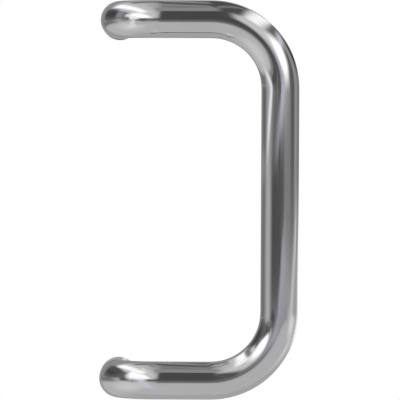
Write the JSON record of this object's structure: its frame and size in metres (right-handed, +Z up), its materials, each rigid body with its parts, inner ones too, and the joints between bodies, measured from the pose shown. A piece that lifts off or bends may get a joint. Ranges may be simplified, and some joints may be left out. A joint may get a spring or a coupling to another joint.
{
  "type": "door pull handle",
  "caption": "Offset D-shaped door pull bent from round polished steel bar, its upright grip set to the side of rear-facing feet that are tapped for fixing bolts.",
  "frame": {"origin": "on the door face, midway between the centres of the two tapped fixings", "axes": "+Z up along the grip, +X from the feet towards the grip, +Y into the door, so the handle stands out along -Y"},
  "size_m": [0.1, 0.057, 0.2],
  "materials": {
    "stainless_steel": "bright satin-polished stainless steel, clear reflections a little softened along the bar"
  },
  "bodies": {
    "root": {"pull_handle": "stainless_steel"}
  },
  "joints": []
}
